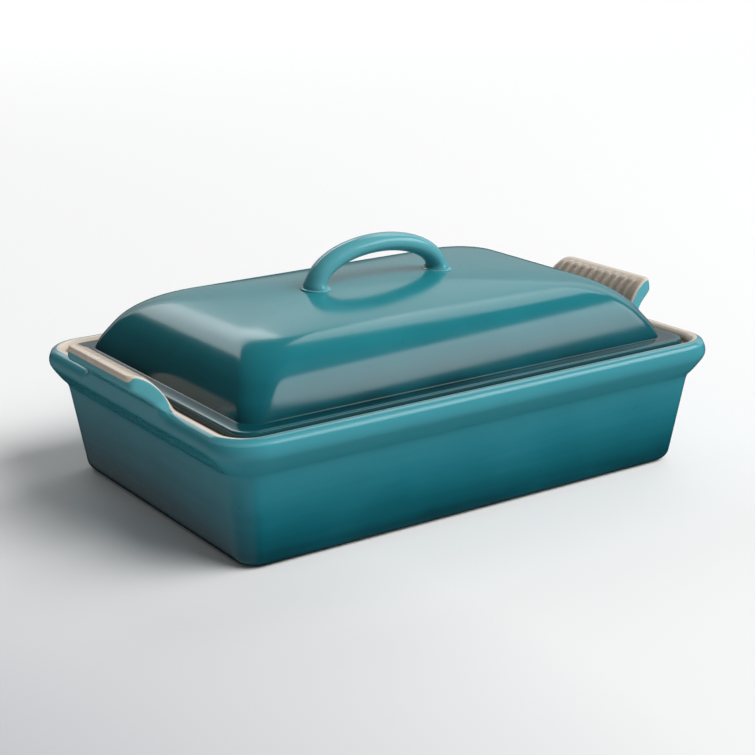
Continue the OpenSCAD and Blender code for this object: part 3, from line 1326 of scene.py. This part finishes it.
@dataclass
class Lid:
    """The domed lid, a closed shell from the middle of its underside to its crown.

    Attributes:
        half_length: Half the flange's length.
        half_width: Half the flange's width.
        low: Height of the skirt's lower edge.
        rim_z: Height of the flange's top.
        top: Height of the crown's middle.
        flange_low: Height of the flange's underside.
        flange_width: Width of the flange around the dome.
        skirt_inset: How far the skirt stands in from the flange.
        wall: Thickness of the wall.
        slope: Mean slope of the dome's side, in degrees.
        side: Height of the dome's side.
        bulge: How far the side swells out in the middle of its height.
        shoulder: Radius of the shoulder.
        base_corner: Corner radius at the dome's base.
        corner_grows: How fast that radius grows with the inset.
        meeting_row: Row of the flange, with a fraction, at which the glazes meet.
        outline: The plan over the flange.
    """

    half_length: float
    half_width: float
    low: float
    rim_z: float
    top: float
    flange_low: float = 73.0
    flange_width: float = 9.2
    skirt_inset: float = 6.8
    wall: float = 7.0
    slope: float = 64.0
    side: float = 14.0
    bulge: float = 0.55
    shoulder: float = 37.5
    base_corner: float = 12.0
    corner_grows: float = 0.5
    meeting_row: float = 8.5
    outline: Outline = field(init=False)

    def __post_init__(self) -> None:
        """Sets the plan."""
        self.outline = Outline(self.half_length, self.half_width)

    def stations(self) -> list[Station]:
        """Stations of a quarter, from the middle of a short side to the middle of a long one."""
        return plain_stations((0.0, 0.2, 0.4, 0.58, 0.74, 0.87, 0.95),
                              (0.04, 0.1, 0.2, 0.32, 0.45, 0.58, 0.72, 0.86, 1.0))

    def shoulder_point(self, slope: float, depth: float) -> Pair:
        """Inset and height on the shoulder.

        Args:
            slope: Slope of the skin there, in radians.
            depth: Depth below the outer skin.

        Returns:
            The inset and the height.
        """
        steep = math.radians(self.slope)
        run = self.side / math.tan(steep) + self.shoulder * (math.sin(steep) - math.sin(slope))
        high = self.side + self.shoulder * (math.cos(slope) - math.cos(steep))
        inset = self.flange_width + run + depth * math.sin(slope)
        return (inset, self.rim_z + high - depth * math.cos(slope))

    def corner_at(self, inset: float) -> float:
        """Corner radius of the dome at an inset."""
        return self.base_corner + self.corner_grows * (inset - self.flange_width)

    def crown_point(self, station: Station, share: float, slope: float, depth: float) -> Vector:
        """Point on the crown.

        Args:
            station: The station.
            share: 1 at the shoulder and 0 in the middle.
            slope: Slope where the shoulder ends there, in radians.
            depth: Depth below the outer skin.

        Returns:
            The point.
        """
        inset, edge_z = self.shoulder_point(slope, depth)
        x, y = self.outline.point(station, inset, self.corner_at(inset))
        a, b = self.half_length - inset, self.half_width - inset
        turn = math.atan2(y / b, x / a)
        round_off = ease(1.0 - share, 0.0, 0.75)
        x, y = mix_pair((x, y), (a * math.cos(turn), b * math.sin(turn)), round_off)
        z = mix(self.top - depth, edge_z, share * share)
        return Vector((x * share, y * share, z))

    def end_slope(self, station: Station) -> float:
        """Slope at which the shoulder runs into the crown, found step by step.

        Args:
            station: The station.

        Returns:
            The slope in radians.
        """
        near = 0.96
        ahead = Station(station.stretch, min(station.at + 0.02, 1.0))
        behind = Station(station.stretch, max(station.at - 0.02, 0.0))
        slope = math.radians(15.0)
        for _ in range(SLOPE_ROUNDS):
            edge = self.crown_point(station, 1.0, slope, 0.0)
            inner = self.crown_point(station, near, slope, 0.0)
            along = self.crown_point(ahead, 1.0, slope, 0.0)
            along -= self.crown_point(behind, 1.0, slope, 0.0)
            away = Vector((along.y, -along.x, 0.0)).normalized()
            run = abs((edge - inner).dot(away))
            slope = mix(slope, math.atan((inner.z - edge.z) / max(run, 0.01)), 0.6)
        return slope

    def crown(self, station: Station, slope: float, depth: float) -> Column:
        """Points from the shoulder's end to the middle of the crown."""
        return [self.crown_point(station, share, slope, depth) for share in CROWN_SHARES]

    def dome(self, station: Station, slope: float, depth: float) -> Column:
        """Points up the shoulder, from the top of the straight side.

        Args:
            station: The station.
            slope: Slope where the shoulder ends there, in radians.
            depth: Depth below the outer skin.

        Returns:
            The points in order.
        """
        made = []
        for k in range(SHOULDER_STEPS + 1):
            bend = mix(math.radians(self.slope), slope, k / SHOULDER_STEPS)
            inset, z = self.shoulder_point(bend, depth)
            made.append(Vector((*self.outline.point(station, inset, self.corner_at(inset)), z)))
        return made

    def flange(self) -> list[Ring]:
        """Rings from inside the skirt, under the flange and on to the dome's base.

        Returns:
            The rings in order.
        """
        inner = self.flange_width + self.wall / math.sin(math.radians(self.slope)) - 1.0
        skirt = self.skirt_inset
        lean = math.tan(math.radians(self.slope))
        under, top, width = self.flange_low, self.rim_z, self.flange_width
        rows = (
            (inner, self.low + 1.2, 6.0),
            (inner - 0.4, self.low + 0.3, 6.2),
            (inner - 1.4, self.low, 6.5),
            (skirt + 1.5, self.low, 7.5),
            (skirt + 0.4, self.low + 0.5, 8.0),
            (skirt, self.low + 1.8, 8.2),
            (skirt, under - 0.9, 8.2),
            (skirt - 0.8, under, 8.6),
            (2.6, under, 9.4),
            (1.2, under + 0.15, 10.0),
            (0.3, under + 0.8, 10.4),
            (0.0, under + 2.0, 10.5),
            (0.0, top - 1.9, 10.5),
            (0.2, top - 0.8, 10.4),
            (0.75, top - 0.18, 10.2),
            (1.6, top, 10.2),
            (width - 3.2, top, 11.0),
            (width - 0.08, top, 12.0),
            (width, top + 0.1, 12.0),
        )
        rings = [Ring(*row) for row in rows]
        for share in (0.12, 0.27, 0.45, 0.63, 0.82):
            swell = self.bulge * 4.0 * share * (1.0 - share)
            inset = width + self.side * share / lean - swell
            rings.append(Ring(inset, self.rim_z + self.side * share, self.corner_at(inset)))
        return rings

    def column(self, station: Station) -> Column:
        """All points of one station, from the middle of the underside to the crown's middle.

        Args:
            station: The station.

        Returns:
            The points in order.
        """
        slope = self.end_slope(station)
        skins = [self.dome(station, slope, depth) + self.crown(station, slope, depth)
                 for depth in (self.wall, 0.0)]
        middle = [Vector((*self.outline.point(station, ring.inset, ring.corner), ring.z))
                  for ring in self.flange()]
        return skins[0][::-1] + middle + skins[1]

    def build(self, material: bpy.types.Material) -> bpy.types.Object:
        """Builds the lid.

        Args:
            material: Its glaze.

        Returns:
            The piece.
        """
        columns = [self.column(station) for station in self.stations()]
        under = (len(columns[0]) - len(self.flange())) // 2
        meeting = under + self.meeting_row
        bm = bmesh.new()
        place_grid(bm, columns)
        mark_meeting(bm, columns, [[-length for length in row_lengths(column, meeting)]
                                   for column in columns])
        close_shell(bm)
        return to_object("lid_shell", bm, material)


# ---------------------------------------------------------------- loop handle


@dataclass
class LoopHandle:
    """A bent oval bar that stands on the lid by two spread feet.

    Attributes:
        low: Height of its feet.
        top: Height of the top of the bar.
        half_span: Half the distance between the middles of its feet.
        thick: Thickness of the bar in its own plane.
        wide: Width of the bar across that plane.
        spread: How much the bar swells at its feet.
        sunk: How far it goes on below its feet, into the pads.
        spread_high: Height over which that swelling dies away.
        gather: How far the steps are drawn towards the feet, 0 for even steps.
        around: Steps around the bar.
        along: Steps along it.
    """

    low: float
    top: float
    half_span: float = 44.0
    thick: float = 11.3
    wide: float = 15.4
    spread: float = 0.22
    sunk: float = 1.2
    spread_high: float = 2.6
    gather: float = 0.45
    around: int = 28
    along: int = 56

    def bar_point(self, share: float, turn: float) -> Vector:
        """Point on the bar's skin.

        Args:
            share: Place along the bar, 0 at one foot and 1 at the other.
            turn: Angle around the bar, in radians.

        Returns:
            The point.
        """
        sweep = math.pi * mix(share, ease(share), self.gather)
        rise = self.top - self.low - self.thick / 2
        mid = Vector((self.half_span * math.cos(sweep), 0.0, rise * math.sin(sweep)))
        tangent = Vector((-self.half_span * math.sin(sweep), 0.0, rise * math.cos(sweep)))
        out = Vector((tangent.z, 0.0, -tangent.x)).normalized()
        swell = 1.0 + self.spread * math.exp(-((mid.z / self.spread_high) ** 2))
        step = out * (math.cos(turn) * self.thick / 2 * swell)
        side = Vector((0.0, math.sin(turn) * self.wide / 2 * swell, 0.0))
        return Vector((0.0, 0.0, self.low)) + mid + step + side

    def build(self, material: bpy.types.Material) -> bpy.types.Object:
        """Builds the bar.

        Args:
            material: Its glaze.

        Returns:
            The piece.
        """
        shares = [0.0] + [k / self.along for k in range(self.along + 1)] + [1.0]
        columns = []
        for k in range(self.around + 1):
            turn = 2.0 * math.pi * (k % self.around) / self.around
            column = [self.bar_point(share, turn) for share in shares]
            column[0].z -= self.sunk
            column[-1].z -= self.sunk
            columns.append(column)
        bm = bmesh.new()
        place_grid(bm, columns)
        bmesh.ops.remove_doubles(bm, verts=bm.verts[:], dist=MERGE_DISTANCE)
        bmesh.ops.holes_fill(bm, edges=[e for e in bm.edges if e.is_boundary], sides=0)
        finish_shell(bm)
        return to_object("loop_handle", bm, material)


@dataclass
class FootPad:
    """The low oval pad that one foot of the loop stands on.

    Attributes:
        name: Name of the piece.
        x: Where it lies along the lid.
        top: Height of its top.
        half_x: Half its size along the lid.
        half_y: Half its size across the lid.
        high: Height that is modelled, part of it sunk in the crown.
        rim_round: Rounding of its rim.
    """

    name: str
    x: float
    top: float
    half_x: float = 8.4
    half_y: float = 10.7
    high: float = 3.4
    rim_round: float = 0.7

    def build(self, material: bpy.types.Material) -> bpy.types.Object:
        """Builds the pad: an oval disc with a rounded rim.

        Args:
            material: Its glaze.

        Returns:
            The piece.
        """
        bm = bmesh.new()
        shape = Matrix.Translation(Vector((self.x, 0.0, self.top - self.high)) * MM)
        shape = shape @ Matrix.Diagonal((self.half_x * MM, self.half_y * MM, 1.0, 1.0))
        bmesh.ops.create_circle(bm, cap_ends=True, segments=PAD_SIDES, radius=1.0, matrix=shape)
        raised = bmesh.ops.extrude_face_region(bm, geom=bm.faces[:])
        lifted = [item for item in raised["geom"] if isinstance(item, bmesh.types.BMVert)]
        bmesh.ops.translate(bm, verts=lifted, vec=(0.0, 0.0, self.high * MM))
        rim = [edge for edge in bm.edges if all(vert in lifted for vert in edge.verts)]
        bmesh.ops.bevel(bm, geom=rim, offset=self.rim_round * MM, offset_type="OFFSET",
                        affect="EDGES", segments=4, profile=0.5, material=-1)
        finish_shell(bm)
        return to_object(self.name, bm, material, levels=0)


# ---------------------------------------------------------------- stage


@dataclass(frozen=True)
class Softbox:
    """A rectangular light that faces the dish.

    Attributes:
        name: Name of the light.
        azimuth: Direction from the dish, in degrees from +Y towards +X.
        elevation: Its height above the horizon, in degrees.
        span: Its width and height as angles, in degrees.
        distance: How far off it hangs, in metres.
        radiance: How bright its face is.
    """

    name: str
    azimuth: float
    elevation: float
    span: Pair
    distance: float
    radiance: float


@dataclass(frozen=True)
class Lamp:
    """A far soft lamp that shows in no reflection.

    Attributes:
        name: Name of the light.
        towards: Direction from the dish to the lamp.
        strength: Its strength.
        soft: Its angle across, in degrees.
    """

    name: str
    towards: Triple
    strength: float
    soft: float


SOFTBOXES = (
    Softbox("front_softbox", 124.5, 34.5, (47.0, 19.5), 2.2, 3.3),
    Softbox("back_window", 7.0, 33.0, (36.0, 13.0), 4.6, 1.9),
    Softbox("side_window", 57.0, 45.0, (26.0, 18.0), 4.8, 2.0),
    Softbox("high_backdrop", 35.0, 28.0, (88.0, 18.0), 6.0, 0.95),
    Softbox("low_backdrop", 35.0, 9.5, (88.0, 18.0), 6.2, 0.45),
)
LAMPS = (
    Lamp("key_lamp", (0.42, -0.58, 0.70), 2.7, 46.0),
    Lamp("fill_lamp", (-0.60, -0.30, 0.74), 0.44, 130.0),
)


@dataclass
class Studio:
    """The floor, the lights and the camera around the dish.

    Attributes:
        half_floor: Half the floor's side, in metres.
        aim_height: Height of the point that the softboxes face, in metres.
        floor_pale: Colour of the floor behind the dish and to its right.
        floor_corner_shade: Colour of its near left corner, painted shade where the light falls off.
        corner_shade_spot: Middle of that painted shade, in metres.
        corner_shade_reach: Distances in metres from there at which the painted shade begins to pale and is
            pale.
        glow: Colour of the room's dim glow.
        left_glow: Strength of the glow from the left, below the horizon.
        high_glow: Strength of the glow from above.
        eye: Place of the camera, in metres.
        ahead: Direction in which it looks.
        roll: Its roll, in degrees.
        lens: Its focal length, in millimetres.
        sensor: Width of its sensor, in millimetres.
    """

    half_floor: float = 14.0
    aim_height: float = 0.09
    floor_pale: Colour = (0.85, 0.85, 0.85)
    floor_corner_shade: Colour = (0.52, 0.53, 0.555)
    corner_shade_spot: Triple = (-0.55, -0.25, 0.0)
    corner_shade_reach: Pair = (0.18, 0.48)
    glow: Colour = (0.93, 0.96, 1.0)
    left_glow: float = 0.24
    high_glow: float = 0.05
    eye: Triple = (-0.56125, -0.83305, 0.36359)
    ahead: Triple = (0.53378, 0.79318, -0.29320)
    roll: float = -0.635
    lens: float = 81.59
    sensor: float = 36.0

    def floor_material(self) -> bpy.types.Material:
        """Makes the pale floor, with painted shade that falls off in grey towards its near left corner.

        Returns:
            The material.
        """
        made = bpy.data.materials.new("pale_floor")
        made.use_nodes = True
        made.node_tree.nodes.clear()
        wiring = Wiring(made.node_tree)
        ends = {0: wiring.place(), 1: self.corner_shade_spot}
        away = wiring.add("VectorMath", ends, operation="DISTANCE").outputs["Value"]
        # Painted shade: the floor darkens towards its near left corner, where the light falls off.
        colour = wiring.blend(wiring.fit(away, *self.corner_shade_reach), self.floor_corner_shade, self.floor_pale)
        shader = wiring.add("BsdfPrincipled", {"Base Color": colour, "Roughness": 0.8,
                                               "Specular IOR Level": 0.0})
        wiring.add("OutputMaterial", {"Surface": shader.outputs[0]})
        return made

    def floor(self) -> None:
        """Builds the floor, hidden from reflections."""
        bm = bmesh.new()
        bmesh.ops.create_grid(bm, x_segments=2, y_segments=2, size=self.half_floor)
        piece = to_object("studio_floor", bm, self.floor_material(), levels=0)
        piece.visible_glossy = False

    def softbox(self, box: Softbox) -> None:
        """Hangs a softbox.

        Args:
            box: Its sizes and place.
        """
        a, e = math.radians(box.azimuth), math.radians(box.elevation)
        away = Vector((math.sin(a) * math.cos(e), math.cos(a) * math.cos(e), math.sin(e)))
        data = bpy.data.lights.new(box.name, "AREA")
        data.shape = "RECTANGLE"
        data.size, data.size_y = (
            2.0 * box.distance * math.tan(math.radians(angle) / 2.0) for angle in box.span
        )
        data.energy = box.radiance * math.pi * data.size * data.size_y
        light = self.hang(data, away)
        light.location = Vector((0.0, 0.0, self.aim_height)) + away * box.distance
        light.visible_camera = False

    def lamp(self, lamp: Lamp) -> None:
        """Hangs a far lamp.

        Args:
            lamp: Its direction and strength.
        """
        data = bpy.data.lights.new(lamp.name, "SUN")
        data.energy = lamp.strength
        data.angle = math.radians(lamp.soft)
        self.hang(data, Vector(lamp.towards)).visible_glossy = False

    def hang(self, data: bpy.types.Light, away: Vector) -> bpy.types.Object:
        """Adds a light that faces back along a direction.

        Args:
            data: The light.
            away: Direction from the dish to it.

        Returns:
            The light's object.
        """
        light = bpy.data.objects.new(data.name, data)
        bpy.context.scene.collection.objects.link(light)
        light.rotation_euler = (-away).to_track_quat("-Z", "Y").to_euler()
        return light

    def room(self) -> None:
        """Sets the room's dim glow, a little brighter from the left below."""
        world = bpy.data.worlds.new("dim_room")
        world.use_nodes = True
        wiring = Wiring(world.node_tree)
        world.node_tree.nodes.clear()
        away = wiring.add("SeparateXYZ", {0: wiring.add("TexCoord").outputs["Generated"]})
        x, z = away.outputs["X"], away.outputs["Z"]
        leftwards = wiring.fit(x, 0.0, -0.45, 0.0, self.left_glow, smooth=True)
        below = wiring.math("MULTIPLY", leftwards, wiring.fit(z, 0.05, -0.3, smooth=True))
        glow = wiring.math("ADD", below, wiring.fit(z, -0.5, 0.3, 0.0, self.high_glow))
        back = wiring.add("Background", {"Color": (*self.glow, 1.0), "Strength": glow})
        wiring.add("OutputWorld", {"Surface": back.outputs[0]})
        bpy.context.scene.world = world

    def camera(self) -> None:
        """Sets up the camera, level but for a slight roll."""
        data = bpy.data.cameras.new("view")
        data.sensor_width = self.sensor
        data.lens = self.lens
        eye = bpy.data.objects.new("view", data)
        bpy.context.scene.collection.objects.link(eye)
        turn = Vector(self.ahead).to_track_quat("-Z", "Y").to_matrix()
        turn = turn @ Matrix.Rotation(math.radians(self.roll), 3, "Z")
        eye.matrix_world = Matrix.Translation(self.eye) @ turn.to_4x4()
        bpy.context.scene.camera = eye
        bpy.context.scene.view_settings.view_transform = "Standard"

    def build(self) -> None:
        """Sets up the whole studio."""
        self.floor()
        for lamp in LAMPS:
            self.lamp(lamp)
        for box in SOFTBOXES:
            self.softbox(box)
        self.room()
        self.camera()


# ---------------------------------------------------------------- assembly


def add_piece(piece: bpy.types.Object, body: str, nodes: Sequence[str] = ()) -> None:
    """Fastens a piece to its body and hides the nodes that it stands for.

    Args:
        piece: The piece.
        body: The body it moves with.
        nodes: The nodes that it stands for.
    """
    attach(piece, body)
    if nodes:
        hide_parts(*nodes)
    log.info("%s rides on %s, %d faces", piece.name, body, len(piece.data.polygons))


def main() -> None:
    """Builds every piece of the casserole in order, then the studio."""
    logging.basicConfig(level=logging.INFO, format="%(name)s: %(message)s")
    dish_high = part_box("dish")[1] / MM
    lid_low, lid_high = (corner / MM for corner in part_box("lid"))
    loop_low, loop_high = (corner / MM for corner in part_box("lid_handle"))
    shelf = GlazeShelf()
    sand = SandGlaze()

    dish = Dish(half_length=dish_high.x, half_width=dish_high.y, height=dish_high.z)
    glaze = Stoneware(shelf, DISH_TEAL, sand, Bisque()).material("dish_glaze")
    add_piece(dish.build(glaze), "dish", ("dish", "left_handle", "right_handle"))

    lid = Lid(half_length=lid_high.x, half_width=lid_high.y, low=lid_low.z, rim_z=dish_high.z,
              top=lid_high.z)
    glaze = Stoneware(shelf, LID_TEAL, sand).material("lid_glaze")
    add_piece(lid.build(glaze), "lid", ("lid",))

    loop = LoopHandle(low=loop_low.z, top=loop_high.z)
    glaze = Stoneware(shelf, LOOP_TEAL).material("loop_glaze")
    add_piece(loop.build(glaze), "lid", ("lid_handle",))
    for name, side in (("left_foot_pad", -1.0), ("right_foot_pad", 1.0)):
        pad = FootPad(name, side * loop.half_span, loop.low + 0.1)
        add_piece(pad.build(glaze), "lid")

    Studio().build()


if __name__ == "__main__":
    main()
